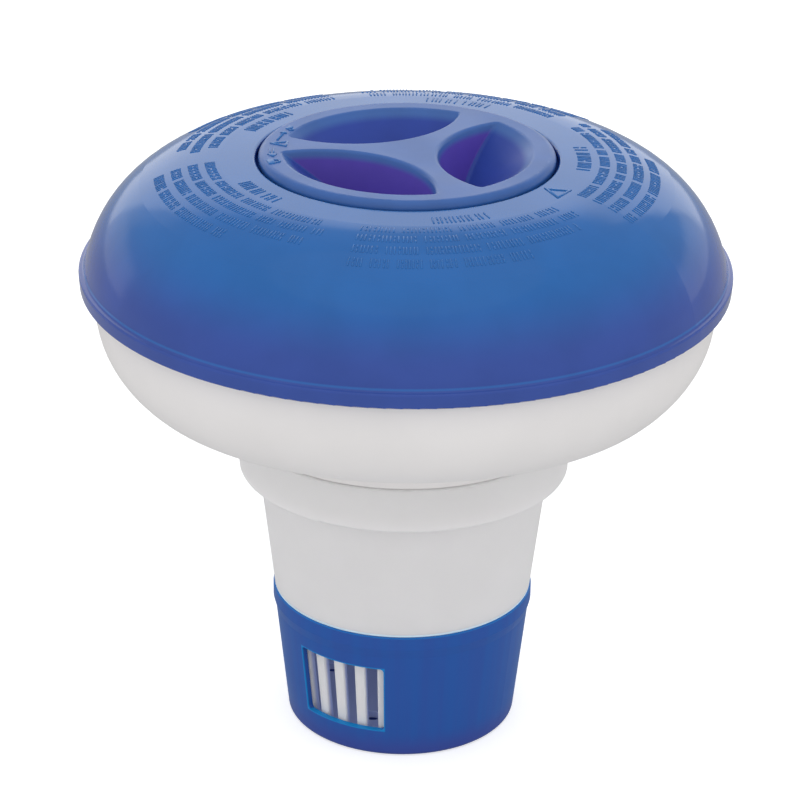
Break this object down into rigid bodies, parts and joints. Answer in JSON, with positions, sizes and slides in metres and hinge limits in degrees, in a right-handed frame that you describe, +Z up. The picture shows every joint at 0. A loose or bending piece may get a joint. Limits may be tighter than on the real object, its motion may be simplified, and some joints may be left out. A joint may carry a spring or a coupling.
{
  "type": "floating chlorine dispenser",
  "caption": "Floating pool chlorine dispenser: round hollow float, twist-off lid with finger pockets, tapered tablet canister and a turning vent cup at the foot.",
  "frame": {"origin": "centre of the circle that the dispenser stands on, on the float axis", "axes": "+Z up along the float axis; the two vent windows face -Y and +Y"},
  "size_m": [0.127, 0.127, 0.1206],
  "materials": {
    "dome_blue": "glossy moulded polypropylene",
    "cap_blue": "satin moulded polypropylene",
    "vent_blue": "satin moulded polypropylene, slightly translucent at thin edges",
    "shell_white": "satin off-white polypropylene",
    "canister_white": "satin off-white polypropylene",
    "seal_rubber": "soft black rubber"
  },
  "bodies": {
    "float": {"float_dome": "dome_blue", "fill_tube": "canister_white", "float_bowl": "shell_white", "rim_seal": "seal_rubber", "canister_seal": "seal_rubber", "tablet_canister": "canister_white"},
    "vent": {"vent_cup": "vent_blue"},
    "cap_seal": {"cap_gasket": "seal_rubber"},
    "cap": {"twist_cap": "cap_blue"}
  },
  "joints": [
    {"name": "vent_turn", "type": "hinge", "parent": "float", "child": "vent", "pos_m": [0, 0, 0], "axis": [0, 0, 1], "range_deg": [0, 90]},
    {"name": "cap_lift", "type": "slide", "parent": "float", "child": "cap_seal", "axis": [0, 0, 1], "range_m": [0, 0.06]},
    {"name": "cap_turn", "type": "hinge", "parent": "cap_seal", "child": "cap", "pos_m": [0, 0, 0.12], "axis": [0, 0, 1], "range_deg": [-38, 0]}
  ]
}
